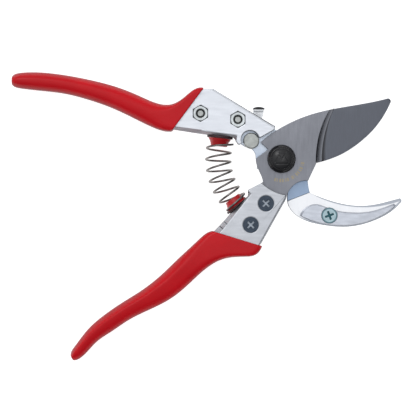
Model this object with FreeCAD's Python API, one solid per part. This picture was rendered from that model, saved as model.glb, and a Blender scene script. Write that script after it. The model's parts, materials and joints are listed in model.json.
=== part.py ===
import FreeCAD, Part
import math
import os

# Bypass pruning shears, lying open on a table. Millimetres.
# X runs to the jaws, Y across, Z up. The pivot axis is the Z axis and the table is z = 0.

# ---- stack along the pivot axis -------------------------------------------------------------
BOLT_HEAD_THICK = 3.1
BACK_WASHER_THICK = 0.7
COUNTER_THICK = 3.6
Z_MATE = BOLT_HEAD_THICK + BACK_WASHER_THICK + COUNTER_THICK    # front face of the counter blade
BLADE_GAP = 0.1         # air between the two blades
BLADE_THICK = 3.2
RELIEF_DEPTH = 0.3      # step between the counter blade's root and its ground jaw
HOOK_BODY_HEIGHT = 2.2  # the hook's body above the counter blade
HANDLE_HALF = 6.0       # half the thickness of the metal handles
GRIP_HALF = HANDLE_HALF + 1.35      # half the thickness of the grips
CORE_HALF = HANDLE_HALF - 0.5       # half the thickness of the handle's core inside the grip
Z_MID = Z_MATE
FLAT_GAP = 0.1          # air beside a turning flat face
BORE_FIT = 0.05         # radial play of a pin in its bore

# ---- lengths --------------------------------------------------------------------------------
JAW_LENGTH = 62.2       # pivot axis to the cutting blade's tip
HOOK_LEAD = 1.3         # how far the hooked jaw reaches past the blade
JAW_START = 24.0        # distance from the pivot where the jaws may be lengthened
UPPER_GRIP_LENGTH = 89.5
LOWER_GRIP_LENGTH = 102.2
CLOSE_ANGLE = 47.5      # degrees from wide open to shut
OPEN_SPREAD = 46.5      # degrees between the two jaws' axes, wide open
HOOK_AXIS = -18.5       # direction of the hooked jaw, degrees

# ---- cutting blade's grinding -----------------------------------------------------------------
EDGE_LAND = 0.35        # thickness left at the cutting edge
SPINE_LAND = 2.9        # thickness of the ground face beside the spine
TIP_LAND = 1.0
GRIND_R = 3.0           # hollow left by the grinding wheel

# ---- pivot ----------------------------------------------------------------------------------
BOLT_R = 4.0
BOLT_HEAD_R = 7.5
BACK_WASHER_R = 7.0
BUSH_WALL = 1.0
SPRING_WASHER_THICK = 0.6
PIVOT_NUT_FLATS = 10.0
PIVOT_NUT_THICK = 3.0
CAP_R = 7.1
CAP_WALL = 0.7
CAP_RIM = 1.3           # height of the cap's straight rim
CAP_DOME = 3.9          # height of the dome above the rim
CAP_FLAT_R = 1.6        # small flat on top of the dome
DISC_R = 12.4           # round middle of the counter blade

# ---- fasteners ------------------------------------------------------------------------------
SCREW_R = 2.0
SCREW_HEAD_R = 4.0
SCREW_HEAD_H = 2.0
SCREW_TIP = 0.65        # bevel round the screw's end
NUT_FLATS = 7.0
NUT_THICK = 3.0
NUT_SINK = 0.4          # bevel round the nut's bore
POCKET_PLAY = 0.12      # play around a nut in its pocket
RECESS_ARM = 2.2
RECESS_WIDTH = 0.95
RECESS_DEPTH = 1.4
SINK = 0.1              # how far heads and nuts sit below the face

# ---- spring and its seats -------------------------------------------------------------------
SPRING_ARC_R = 31.6     # the coil's centre line is an arc about the pivot
SPRING_START = 165.2
SPRING_END = 225.3
SPRING_TURNS = 6.45
COIL_R = 6.2
WIRE_R = 0.52
TILT_START = 1.9        # lean of the first and last coils, degrees about the pivot
TILT_END = -2.0
SEAT_FLANGE_R = COIL_R + 0.4
SEAT_FLANGE_H = 1.2
SEAT_CONE_R = COIL_R - WIRE_R - 0.1
SEAT_LEAN = 8.0         # lean of the lower seat against its edge, degrees
SEAT_LEAN_SINK = 0.4
SEAT_BASE_R = 5.2       # foot between the leaning seat's flange and the handle
SEAT_BASE_DEPTH = 4.0
SEAT_TOP_R = 4.1
SEAT_HEIGHT = 5.2
SEAT_PIN_R = 1.5
SEAT_PIN_DEPTH = 4.5

# ---- lock -----------------------------------------------------------------------------------
RIVET_AT = (-15.1, 9.05)
RIVET_R = 2.0
RIVET_DISC_R = 4.0
RIVET_DISC_TOP = Z_MATE + 4.2
LOCK_THICK = 2.0
LOCK_HUB_R = 3.4
LOCK_WASHER_R = 3.2
LOCK_WASHER_THICK = 0.5
RIVET_HEAD_THICK = 0.8
PAD_TOP_Z = Z_MATE + 1.6
HEEL_R = 14.4           # round end of the lower handle's back cheek

# ---- grips ----------------------------------------------------------------------------------
GRIP_WALL = 1.7
EDGE_BEVEL = 0.8
EDGE_RUN = 1.5          # how far a bevel's tool runs past the metal

HANDLE_BACK = Z_MID - HANDLE_HALF
HANDLE_FRONT = Z_MID + HANDLE_HALF
COUNTER_BACK = Z_MATE - COUNTER_THICK
BLADE_BACK = Z_MATE + BLADE_GAP
BLADE_FRONT = BLADE_BACK + BLADE_THICK
BUSH_R = BOLT_R + BORE_FIT + BUSH_WALL


# ---- drawing helpers ------------------------------------------------------------------------
def vec(p, z=0.0):
    return FreeCAD.Vector(p[0], p[1], z)


def edge(points):
    """Two points make a line, three an arc through the middle one, more a smooth curve."""
    if len(points) == 2:
        return Part.LineSegment(vec(points[0]), vec(points[1])).toShape()
    if len(points) == 3:
        return Part.Arc(*[vec(p) for p in points]).toShape()
    smooth = Part.BSplineCurve()
    smooth.interpolate([vec(p) for p in points])
    return smooth.toShape()


def outline(stretches):
    """A closed wire: each stretch starts where the one before it ends."""
    edges = []
    for number, points in enumerate(stretches):
        following = stretches[(number + 1) % len(stretches)][0]
        edges.append(edge(points))
        if points[-1] != following:
            edges.append(edge([points[-1], following]))
    return Part.Wire(edges)


def solid_of(shape):
    """The same solid with its faces pointing outwards."""
    return shape if shape.Volume > 0 else shape.reversed()


def plate(stretches, z_low, z_high):
    face = Part.Face(outline(stretches))
    face.translate(vec((0, 0), z_low))
    return solid_of(face.extrude(vec((0, 0), z_high - z_low)))


def polygon(points, z_low, z_high):
    return plate([[a, b] for a, b in zip(points, points[1:] + points[:1])], z_low, z_high)


def rod(p, radius, z_low, z_high):
    return Part.makeCylinder(radius, z_high - z_low, vec(p, z_low))


def cone(p, r_low, r_high, z_low, z_high):
    return Part.makeCone(r_low, r_high, z_high - z_low, vec(p, z_low))


def hexagon(p, flats, z_low, z_high, turn=0.0):
    r = flats / math.sqrt(3)
    angles = [math.radians(turn + 60 * k) for k in range(6)]
    return polygon([(p[0] + r * math.cos(a), p[1] + r * math.sin(a)) for a in angles], z_low, z_high)


def turned(shape, degrees, centre=(0, 0)):
    copy = shape.copy()
    copy.rotate(vec(centre), FreeCAD.Vector(0, 0, 1), degrees)
    return copy


def polar(radius, degrees):
    a = math.radians(degrees)
    return (radius * math.cos(a), radius * math.sin(a))


def flat_edges(shape, z):
    """The edges that lie in the plane at height z."""
    return [e for e in shape.Edges if all(abs(v.Point.z - z) < 1e-6 for v in e.Vertexes)]


def edge_bevel(a, b, width_a, width_b, z_face):
    """A 45 degree wedge along the line a-b, which lies on a body's edge with the body on its left.

    The bevel is width_a wide at a and width_b at b, and runs past both ends.
    """
    length = math.dist(a, b)
    u = ((b[0] - a[0]) / length, (b[1] - a[1]) / length)
    n = (u[1], -u[0])
    grow = (width_b - width_a) / length
    up = 1 if z_face > Z_MID else -1
    rings = []
    for along in (-EDGE_RUN, length + EDGE_RUN):
        w = max(width_a + grow * along, 0.02)
        x, y = a[0] + u[0] * along, a[1] + u[1] * along
        rim = [(-w, 0.0), (EDGE_RUN, w + EDGE_RUN), (EDGE_RUN, -EDGE_RUN), (-w, -EDGE_RUN)]
        points = [FreeCAD.Vector(x + n[0] * off, y + n[1] * off, z_face - up * drop) for off, drop in rim]
        rings.append(Part.makePolygon(points + points[:1]))
    wedge = Part.makeLoft(rings, True, True)
    return solid_of(wedge)


def lengthened(points, direction, start, factor):
    """Stretches what lies beyond start along a direction, so a longer jaw keeps its root."""
    u = polar(1.0, direction)
    result = []
    for p in points:
        along = p[0] * u[0] + p[1] * u[1]
        extra = max(0.0, along - start) * (factor - 1.0)
        result.append((p[0] + u[0] * extra, p[1] + u[1] * extra))
    return result


def along_axis(p, direction):
    u = polar(1.0, direction)
    return p[0] * u[0] + p[1] * u[1]


BLADE_AXIS = HOOK_AXIS + OPEN_SPREAD
BLADE_TIP = (54.9, 29.6)
HOOK_TIP = (60.3, -20.2)
BLADE_FACTOR = (JAW_LENGTH - JAW_START) / (along_axis(BLADE_TIP, BLADE_AXIS) - JAW_START)
HOOK_FACTOR = (JAW_LENGTH + HOOK_LEAD - JAW_START) / (along_axis(HOOK_TIP, HOOK_AXIS) - JAW_START)


def blade_points(points):
    return lengthened(points, BLADE_AXIS, JAW_START, BLADE_FACTOR)


def hook_points(points):
    return lengthened(points, HOOK_AXIS, JAW_START, HOOK_FACTOR)


# ---- places ---------------------------------------------------------------------------------
UPPER_SCREWS = [(-40.5, 22.7), (-21.8, 19.6)]
LOWER_SCREWS = [(-7.8, -22.3), (-15.4, -33.0)]
HOOK_SCREW = hook_points([(24.05, -28.3)])[0]
UPPER_SEAT_EDGE = [(-24.0, 10.85), (-40.0, 12.57)]     # the handle's straight edge under the seat
LOWER_SEAT_EDGE = [(-25.6, -27.35), (-16.7, -18.45)]


def edge_seat(line, share, lean=0.0, sink=0.0):
    """The place of a seat on a straight edge, and the direction in which it points."""
    (ax, ay), (bx, by) = line
    turn = math.degrees(math.atan2(by - ay, bx - ax)) + 90 - lean
    down = polar(-sink, turn)
    return (ax + (bx - ax) * share + down[0], ay + (by - ay) * share + down[1]), turn


UPPER_SEAT_AT, UPPER_SEAT_TURN = edge_seat(UPPER_SEAT_EDGE, 0.419)
LOWER_SEAT_AT, LOWER_SEAT_TURN = edge_seat(LOWER_SEAT_EDGE, 0.43, SEAT_LEAN, SEAT_LEAN_SINK)

# Grip stations from the metal end to the tip: upper-side point, lower-side point, corner radius.
UPPER_STATIONS = [
    ((-38.6, 35.6), (-54.8, 13.8), 2.5, 1.0),
    ((-44.0, 34.6), (-56.4, 13.7), 2.8, 1.0),
    ((-49.0, 30.6), (-58.4, 13.9), 3.2, 1.0),
    ((-54.5, 27.5), (-61.5, 14.7), 3.6, 1.0),
    ((-61.5, 27.7), (-67.0, 17.0), 3.9, 1.0),
    ((-70.0, 31.1), (-75.5, 21.2), 4.0, 1.0),
    ((-82.0, 35.9), (-86.0, 26.0), 4.0, 1.0),
    ((-95.0, 39.4), (-97.0, 29.8), 3.9, 0.98),
    ((-108.0, 41.9), (-109.0, 32.8), 3.8, 0.95),
    ((-120.0, 43.3), (-120.5, 34.2), 3.8, 0.91),
    ((-130.0, 43.2), (-130.2, 35.3), 3.5, 0.85),
    ((-133.6, 42.4), (-133.6, 36.1), 2.9, 0.74),
    ((-135.0, 41.2), (-135.0, 37.2), 1.9, 0.55),
]
LOWER_STATIONS = [
    ((-34.7, -35.9), (-9.6, -43.6), 2.5, 1.0),
    ((-37.2, -36.9), (-18.0, -48.9), 2.9, 1.0),
    ((-40.5, -39.5), (-28.0, -49.8), 3.4, 1.0),
    ((-45.3, -44.0), (-36.8, -54.2), 3.8, 1.0),
    ((-52.0, -50.2), (-45.0, -61.4), 4.2, 1.0),
    ((-60.0, -57.9), (-54.0, -69.0), 4.2, 1.0),
    ((-70.0, -65.8), (-65.0, -75.0), 4.1, 1.0),
    ((-80.0, -72.1), (-76.0, -80.4), 3.9, 0.98),
    ((-90.0, -79.1), (-85.0, -86.4), 3.7, 0.95),
    ((-97.0, -85.4), (-92.5, -91.6), 3.4, 0.91),
    ((-103.2, -93.4), (-99.6, -98.9), 2.9, 0.82),
    ((-105.0, -96.0), (-102.3, -100.6), 2.4, 0.70),
    ((-105.6, -98.4), (-104.3, -100.8), 1.15, 0.50),
]


def station_reach(stations):
    (a, b) = stations[0][:2]
    (c, d) = stations[-1][:2]
    start = ((a[0] + b[0]) / 2, (a[1] + b[1]) / 2)
    end = ((c[0] + d[0]) / 2, (c[1] + d[1]) / 2)
    return start, end


def fitted(stations, length):
    """Stations moved along the grip so that it has the given length."""
    start, end = station_reach(stations)
    drawn = math.dist(start, end)
    direction = math.degrees(math.atan2(end[1] - start[1], end[0] - start[0]))
    base = along_axis(start, direction)
    mouth = max(along_axis(stations[2][side], direction) for side in (0, 1))
    factor = (length - (mouth - base)) / (drawn - (mouth - base))
    result = []
    for a, b, corner, swell in stations:
        pair = lengthened([a, b], direction, mouth, factor)
        result.append((pair[0], pair[1], corner, swell))
    return result


def ring(a, b, half_thick, corner, inset):
    """Rounded rectangle standing on the line a-b, centred on the mid plane."""
    width = math.dist(a, b)
    ux, uy = (b[0] - a[0]) / width, (b[1] - a[1]) / width
    cx, cy = (a[0] + b[0]) / 2, (a[1] + b[1]) / 2
    w = width / 2 - inset
    r = min(corner, 0.96 * w, 0.96 * half_thick)
    k = r * (1 - math.sqrt(0.5))

    def at(u, z):
        return FreeCAD.Vector(cx + ux * u, cy + uy * u, Z_MID + z)

    edges = []
    h = half_thick
    corners = [(1, 1), (-1, 1), (-1, -1), (1, -1)]
    for number, (su, sz) in enumerate(corners):
        side = at(su * w, sz * (h - r))
        top = at(su * (w - r), sz * h)
        first, last = (side, top) if number % 2 == 0 else (top, side)
        edges.append(Part.Arc(first, at(su * (w - k), sz * (h - k)), last).toShape())
        nu, nz = corners[(number + 1) % 4]
        next_top = at(nu * (w - r), nz * h)
        next_side = at(nu * w, nz * (h - r))
        target = next_top if number % 2 == 0 else next_side
        edges.append(Part.LineSegment(last, target).toShape())
    return Part.Wire(edges)


def sleeve_body(stations):
    rings = [ring(a, b, GRIP_HALF * swell, corner, 0.0) for a, b, corner, swell in stations]
    return Part.makeLoft(rings, True, False)


def core_body(stations):
    """The metal inside the grip, from inside the mouth to short of the tip."""
    rings = [ring(a, b, CORE_HALF * swell, corner, GRIP_WALL) for a, b, corner, swell in stations[2:-3]]
    return Part.makeLoft(rings, True, False)


# ---- fasteners ------------------------------------------------------------------------------
def cross_recess(p, z_top, turn):
    arm = Part.makeBox(2 * RECESS_ARM, RECESS_WIDTH, 2 * RECESS_DEPTH)
    arm.translate(FreeCAD.Vector(p[0] - RECESS_ARM, p[1] - RECESS_WIDTH / 2, z_top - RECESS_DEPTH))
    return turned(arm, turn, p).fuse(turned(arm, turn + 90, p))


def screw(p, z_face, z_end, turn=45.0):
    """Countersunk screw whose head lies in the face at z_face, pointing to z_end."""
    way = -1 if z_end < z_face else 1
    top = z_face + way * SINK
    neck = top + way * SCREW_HEAD_H
    if way < 0:
        head = cone(p, SCREW_R, SCREW_HEAD_R, neck, top)
        shank = rod(p, SCREW_R, z_end, neck)
    else:
        head = cone(p, SCREW_HEAD_R, SCREW_R, top, neck)
        shank = rod(p, SCREW_R, neck, z_end)
    tool = cross_recess(p, top, turn)
    tip = z_end - way * SCREW_TIP
    shank = shank.cut(rod(p, SCREW_R + 1.0, min(tip, z_end), max(tip, z_end)))
    low_r, high_r = (SCREW_R - SCREW_TIP, SCREW_R) if way < 0 else (SCREW_R, SCREW_R - SCREW_TIP)
    end = cone(p, low_r, high_r, min(tip, z_end), max(tip, z_end))
    return head.fuse([shank, end]).removeSplitter().cut(tool)


def screw_room(p, z_face, z_end):
    """The countersunk hole for that screw."""
    way = -1 if z_end < z_face else 1
    wide = SCREW_HEAD_R + SINK + BORE_FIT
    narrow = SCREW_R + BORE_FIT
    depth = z_face + way * (SINK + SCREW_HEAD_H)
    if way < 0:
        head = cone(p, narrow, wide, depth, z_face)
        shank = rod(p, narrow, z_end - 1, depth)
    else:
        head = cone(p, wide, narrow, z_face, depth)
        shank = rod(p, narrow, depth, z_end + 1)
    return head.fuse(shank)


def nut(p, flats, bore, z_low, z_high, turn=0.0):
    body = hexagon(p, flats, z_low, z_high, turn)
    corner = flats / math.sqrt(3)
    height = z_high - z_low
    crown = (corner - flats / 2) * 0.9
    blank = cone(p, corner + height - crown, corner - crown, z_low, z_high)
    mouths = [cone(p, bore + NUT_SINK, bore, z_low, z_low + NUT_SINK),
              cone(p, bore, bore + NUT_SINK, z_high - NUT_SINK, z_high)]
    return body.common(blank).cut(rod(p, bore, z_low, z_high)).cut(mouths[0]).cut(mouths[1])


def nut_pocket(p, z_low, z_high, turn=0.0):
    return hexagon(p, NUT_FLATS + 2 * POCKET_PLAY, z_low, z_high, turn)


NUT_FRONT = HANDLE_FRONT - SINK
NUT_BACK = HANDLE_BACK + SINK


# ---- counter blade and hooked jaw -------------------------------------------------------------
ROOT_RELIEF = [(1.3, -21.75), (16.3, -15.95), (18.0, -5.0), (0.0, -5.0)]
HOOK_INNER = [(14.3, -16.9), (22.3, -20.1), (30.0, -22.3), (37.8, -23.4), (46.1, -23.0), (54.8, -21.0),
              (59.6, -19.7)]
HOOK_OUTER = [(59.6, -22.2), (54.8, -26.6), (47.7, -30.4), (39.7, -33.0), (31.0, -34.0), (20.7, -33.0),
              (10.3, -30.0), (5.0, -25.8), (3.1, -21.9)]
HOOK_BODY_INNER = [(9.4, -27.9), (12.2, -24.3), (17.1, -22.6), (21.8, -23.8), (28.4, -25.9), (36.4, -26.8),
                   (44.4, -26.3), (51.1, -24.4), (56.6, -22.3)]
HOOK_RIDGE = [(10.3, -28.1), (12.7, -24.9), (17.1, -23.2), (21.7, -24.4), (28.3, -26.5), (36.4, -27.4),
              (44.5, -26.9), (51.2, -25.1), (55.6, -23.4)]
HOOK_BODY_OUTER = [(57.4, -23.4), (54.4, -26.1), (47.5, -29.95), (39.6, -32.5), (31.0, -33.5), (20.8, -32.5),
                   (13.4, -30.4), (9.4, -28.5)]
HOOK_TOP_OUTER = [(56.0, -23.9), (53.9, -25.6), (47.2, -29.35), (39.5, -31.9), (31.0, -32.9), (20.9, -31.9),
                  (13.8, -29.9), (10.4, -28.6)]


def hook_body_blank():
    low = outline([hook_points(HOOK_BODY_INNER), hook_points(HOOK_BODY_OUTER)])
    high = outline([hook_points(HOOK_RIDGE), hook_points(HOOK_TOP_OUTER)])
    low.translate(vec((0, 0), Z_MATE))
    high.translate(vec((0, 0), Z_MATE + HOOK_BODY_HEIGHT))
    return solid_of(Part.makeLoft([low, high], True, True))


def hook_body():
    return hook_body_blank().cut(screw_room(HOOK_SCREW, Z_MATE + HOOK_BODY_HEIGHT, COUNTER_BACK))


def hook_screw():
    return screw(HOOK_SCREW, Z_MATE + HOOK_BODY_HEIGHT, COUNTER_BACK + SINK, 20.0)


def counter_blade():
    jaw = plate([
        hook_points(HOOK_INNER),
        hook_points([HOOK_INNER[-1], (60.3, -20.5), HOOK_OUTER[0]]),
        hook_points(HOOK_OUTER),
        [(3.1, -21.9), (2.9, -19.5), (3.2, -17.0)],
        [(3.2, -17.0), (3.2, -8.0)],
        [(3.2, -8.0), (12.2, 0.0)],
        [(12.2, 0.0), (13.2, -9.0)],
        [(13.2, -9.0), (13.5, -13.0), (14.3, -16.9)],
    ], COUNTER_BACK, Z_MATE)
    neck = plate([
        [(1.0, 12.2), (-3.2, 14.9), (-8.5, 17.6)],
        [(-8.5, 17.6), (-35.0, 33.0)],
        [(-35.0, 33.0), (-46.5, 19.0)],
        [(-46.5, 19.0), (-45.0, 15.2)],
        [(-45.0, 15.2), (-27.0, 13.4)],
        [(-27.0, 13.4), (-23.2, 11.4)],
        [(-23.2, 11.4), (-20.4, 7.6), (-15.5, 5.4)],
        [(-15.5, 5.4), (-13.4, 3.2), (-12.9, 0.0)],
        [(-12.9, 0.0), (0.0, 0.0)],
    ], COUNTER_BACK, Z_MATE)
    disc = rod((0, 0), DISC_R, COUNTER_BACK, Z_MATE)
    body = jaw.fuse([neck, disc]).removeSplitter()
    body = body.cut(rod((0, 0), BOLT_R + BORE_FIT, COUNTER_BACK, Z_MATE))
    body = body.cut(rod(RIVET_AT, RIVET_R + BORE_FIT, COUNTER_BACK, Z_MATE))
    for p in UPPER_SCREWS:
        body = body.cut(screw_room(p, HANDLE_BACK, HANDLE_FRONT))
    body = body.cut(screw_room(HOOK_SCREW, Z_MATE + HOOK_BODY_HEIGHT, COUNTER_BACK))
    relief = polygon(ROOT_RELIEF, Z_MATE - RELIEF_DEPTH, Z_MATE + 1.0)
    relief = relief.cut(rod((0, 0), DISC_R, 0.0, 2 * Z_MATE))
    return body.cut(relief).cut(seat_pin_room(UPPER_SEAT_AT, UPPER_SEAT_TURN))


# ---- cutting blade ----------------------------------------------------------------------------
SPINE = [(-10.4, 8.3), (-4.4, 13.0), (4.0, 17.9), (15.0, 22.3), (25.0, 24.8), (40.0, 27.5), (53.0, 30.3)]
EDGE = [(55.0, 28.6), (51.8, 22.4), (46.7, 15.3), (40.0, 8.9), (30.0, 2.3), (23.3, -0.4), (17.5, -2.0)]
GRIND_ARC = [(27.4, 27.6), (21.9, 13.5), (20.3, -3.5)]
GRIND_HIGH = [(19.5, 24.0), (25.0, 24.8), (30.0, 25.6), (36.0, 26.7), (43.0, 28.2), (49.0, 29.4),
              (53.6, 30.2)]
GRIND_LOW = [(15.0, -4.5), (22.0, -0.8), (30.0, 2.3), (38.6, 7.8), (46.0, 14.5), (51.8, 22.4), (55.0, 28.4)]


def grind_tool():
    """What the grinding leaves out: a face that falls from the spine to the cutting edge."""
    stations = 7
    sections = []
    spine_line = blade_points(GRIND_HIGH)
    edge_line = blade_points(GRIND_LOW)
    for k in range(stations):
        s, e = spine_line[k], edge_line[k]
        z_s = SPINE_LAND + (TIP_LAND - SPINE_LAND) * max(0, k - 1) / (stations - 2)
        over = 3.0 / math.dist(s, e)
        high = (s[0] + (s[0] - e[0]) * over, s[1] + (s[1] - e[1]) * over)
        low = (e[0] - (s[0] - e[0]) * over, e[1] - (s[1] - e[1]) * over)
        rise = (z_s - EDGE_LAND) * over
        top = BLADE_FRONT + 2.0
        corners = [vec(high, BLADE_BACK + z_s + rise), vec(high, top), vec(low, top),
                   vec(low, BLADE_BACK + EDGE_LAND - rise)]
        sections.append(Part.makePolygon(corners + corners[:1]))
    last = [v.Point for v in sections[-1].Vertexes]
    shift = vec(polar(6.0, BLADE_AXIS))
    sections.append(Part.makePolygon([p + shift for p in last] + [last[0] + shift]))
    fan = solid_of(Part.makeLoft(sections, True, False))
    reach = blade_points([(90.0, 70.0), (90.0, -30.0)])
    right = plate([GRIND_ARC, [GRIND_ARC[2], reach[1]], [reach[1], reach[0]], [reach[0], GRIND_ARC[0]]],
                  BLADE_BACK, BLADE_FRONT + 3)
    drops = [SPINE_LAND + 0.25, (SPINE_LAND + EDGE_LAND) / 2 + 0.05, EDGE_LAND - 0.2]
    path = Part.Arc(*[vec(p, BLADE_BACK + drop + GRIND_R) for p, drop in zip(GRIND_ARC, drops)]).toShape()
    start = path.valueAt(path.FirstParameter)
    heading = path.tangentAt(path.FirstParameter)
    rim = Part.Wire([Part.makeCircle(GRIND_R, start, heading)])
    wheel = Part.Wire([path]).makePipeShell([rim], True, True)
    return fan.common(right), solid_of(wheel)


def cutting_blade():
    body = plate([
        blade_points(SPINE),
        blade_points([SPINE[-1], (54.7, 29.9), EDGE[0]]),
        blade_points(EDGE),
        [EDGE[-1], (13.3, -10.9)],
        [(13.3, -10.9), (8.3, -11.7), (5.2, -14.0), (2.6, -18.6)],
        [(2.6, -18.6), (-10.6, -41.0)],
        [(-10.6, -41.0), (-21.5, -34.6)],
        [(-21.5, -34.6), (-10.2, -14.5)],
        [(-10.2, -14.5), (-9.3, -11.0), (-10.8, -6.8), (-12.3, -3.2), (-12.8, 0.2)],
        [(-12.8, 0.2), (-6.6, 4.7)],
        [(-6.6, 4.7), (-10.4, 8.3)],
    ], BLADE_BACK, BLADE_FRONT)
    fan, wheel = grind_tool()
    body = body.cut(fan).cut(wheel)
    body = body.cut(rod((0, 0), BUSH_R + BORE_FIT, BLADE_BACK, BLADE_FRONT))
    for p in LOWER_SCREWS:
        body = body.cut(screw_room(p, HANDLE_FRONT, HANDLE_BACK))
    return max(body.cut(seat_pin_room(LOWER_SEAT_AT, LOWER_SEAT_TURN)).Solids, key=lambda s: s.Volume)


# ---- handles ----------------------------------------------------------------------------------
UPPER_OUTLINE = [
    [(-38.5, 34.9), (-34.6, 34.9)],
    [(-34.6, 34.9), (-33.6, 34.7), (-32.7, 34.1)],
    [(-32.7, 34.1), (-5.0, 17.1)],
    [(-5.0, 17.1), (-3.2, 15.6), (-3.9, 14.4)],
    [(-3.9, 14.4), (-10.3, 10.75)],
    [(-10.3, 10.75), (-10.9, 10.7), (-11.4, 11.1)],
    [(-11.4, 11.1), (-15.6, 14.2), (-20.0, 8.2)],
    [(-20.0, 8.2), (-20.7, 7.3), (-21.9, 7.6)],
    [(-21.9, 7.6), UPPER_SEAT_EDGE[0]],
    UPPER_SEAT_EDGE,
    [UPPER_SEAT_EDGE[1], (-54.6, 14.9)],
    [(-54.6, 14.9), (-59.3, 16.3)],
    [(-59.3, 16.3), (-54.1, 25.8)],
    [(-54.1, 25.8), (-50.6, 27.9)],
    [(-50.6, 27.9), (-43.6, 33.2)],
    [(-43.6, 33.2), (-38.5, 34.9)],
]
LOWER_OUTLINE = [
    [(-10.0, -12.0), (-4.6, -15.9), (2.5, -18.2)],
    [(2.5, -18.2), (2.0, -20.5)],
    [(2.0, -20.5), (-10.2, -42.4)],
    [(-10.2, -42.4), (-11.0, -43.0)],
    [(-11.0, -43.0), (-19.5, -46.6)],
    [(-19.5, -46.6), (-28.5, -47.4)],
    [(-28.5, -47.4), (-32.8, -50.2)],
    [(-32.8, -50.2), (-40.2, -42.2)],
    [(-40.2, -42.2), (-37.0, -39.6)],
    [(-37.0, -39.6), (-33.8, -36.2)],
    [(-33.8, -36.2), (-30.0, -32.3)],
    [(-30.0, -32.3), LOWER_SEAT_EDGE[0]],
    LOWER_SEAT_EDGE,
    [LOWER_SEAT_EDGE[1], (-16.6, -15.4)],
    [(-16.6, -15.4), (-10.0, -12.0)],
]
# Bevelled edges, with the metal on the left of each line, and the bevel's width at both ends.
UPPER_BEVELS = [
    ((-5.0, 17.1), (-32.7, 34.1), EDGE_BEVEL, EDGE_BEVEL),
    (UPPER_SEAT_EDGE[1], UPPER_SEAT_EDGE[0], 1.5, 1.2),
    ((-54.6, 14.9), UPPER_SEAT_EDGE[1], 1.5, 1.5),
]
LOWER_BEVELS = [
    ((-10.2, -42.4), (2.0, -20.5), EDGE_BEVEL, EDGE_BEVEL),
    (LOWER_SEAT_EDGE[1], LOWER_SEAT_EDGE[0], 0.7, 2.1),
    (LOWER_SEAT_EDGE[0], (-30.0, -32.3), 2.1, 2.5),
    ((-30.0, -32.3), (-33.8, -36.2), 2.5, 2.8),
]
# The back cheek ends here, which leaves the lock lever free.
LOCK_WINDOW = [(-19.3, -5.0), (-19.3, 12.8), (-16.0, 16.6), (-15.5, 40.0), (20.0, 40.0), (20.0, -5.0)]
# Room for the lock's tooth in the lower handle, given for the shut shears.
NOTCH = [(-12.0, -2.75), (-17.2, -3.15), (-17.2, -7.3), (-12.0, -6.9)]


def upper_handle(stations):
    body = plate(UPPER_OUTLINE, HANDLE_BACK, HANDLE_FRONT)
    for z_face in (HANDLE_FRONT, HANDLE_BACK):
        for a, b, width_a, width_b in UPPER_BEVELS:
            body = body.cut(edge_bevel(a, b, width_a, width_b, z_face))
    slot = polygon([(10.0, -5.0), (-24.0, -5.0), (-44.0, 8.0), (-47.0, 19.0), (-34.0, 45.0), (10.0, 45.0)],
                   COUNTER_BACK, Z_MATE)
    body = body.cut(slot).cut(polygon(LOCK_WINDOW, HANDLE_BACK, COUNTER_BACK))
    body = body.fuse(core_body(stations)).removeSplitter()
    for p in UPPER_SCREWS:
        body = body.cut(screw_room(p, HANDLE_BACK, HANDLE_FRONT))
        body = body.cut(nut_pocket(p, NUT_FRONT - NUT_THICK, HANDLE_FRONT + 1, 30.0))
    body = body.cut(seat_room(UPPER_SEAT_AT, UPPER_SEAT_TURN))
    return body.cut(seat_pin_room(UPPER_SEAT_AT, UPPER_SEAT_TURN))


def lower_handle(stations):
    body = plate(LOWER_OUTLINE, HANDLE_BACK, HANDLE_FRONT)
    for z_face in (HANDLE_FRONT, HANDLE_BACK):
        for a, b, width_a, width_b in LOWER_BEVELS:
            body = body.cut(edge_bevel(a, b, width_a, width_b, z_face))
    slot = polygon([(-40.0, -5.0), (-21.0, -36.5), (-11.5, -42.0), (20.0, -30.0), (20.0, -5.0)],
                   BLADE_BACK, BLADE_FRONT)
    body = body.cut(slot).fuse(core_body(stations)).removeSplitter()
    heel_end = polar(HEEL_R, 231.5)
    heel = plate([
        [heel_end, polar(HEEL_R, 245.0), polar(HEEL_R, 262.0)],
        [polar(HEEL_R, 262.0), (-4.6, -20.0)],
        [(-4.6, -20.0), (-12.0, -16.0)],
        [(-12.0, -16.0), (-11.0, -12.6)],
        [(-11.0, -12.6), heel_end],
    ], HANDLE_BACK + 0.4, BLADE_BACK)
    body = body.fuse(heel).removeSplitter()
    body = body.cut(turned(polygon(NOTCH, 0.0, BLADE_BACK), CLOSE_ANGLE))
    for p in LOWER_SCREWS:
        body = body.cut(screw_room(p, HANDLE_FRONT, HANDLE_BACK))
        body = body.cut(nut_pocket(p, HANDLE_BACK - 1, NUT_BACK + NUT_THICK, 30.0))
    return body.cut(seat_pin_room(LOWER_SEAT_AT, LOWER_SEAT_TURN))


# ---- spring and seats -------------------------------------------------------------------------
def seat_frame(shape, at, turn):
    """Puts a shape drawn along +Z onto a handle's edge."""
    copy = shape.copy()
    copy.rotate(FreeCAD.Vector(0, 0, 0), FreeCAD.Vector(0, 1, 0), 90)
    copy.rotate(FreeCAD.Vector(0, 0, 0), FreeCAD.Vector(0, 0, 1), turn)
    copy.translate(vec(at, Z_MID))
    return copy


def spring_seat(at, turn):
    flange = rod((0, 0), SEAT_FLANGE_R, 0.0, SEAT_FLANGE_H)
    stem = cone((0, 0), SEAT_CONE_R, SEAT_TOP_R, SEAT_FLANGE_H, SEAT_HEIGHT)
    bore = rod((0, 0), SEAT_PIN_R + BORE_FIT, -SEAT_BASE_DEPTH - 1.0, SEAT_HEIGHT / 2)
    return seat_frame(flange.fuse(stem).removeSplitter().cut(bore), at, turn)


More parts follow.
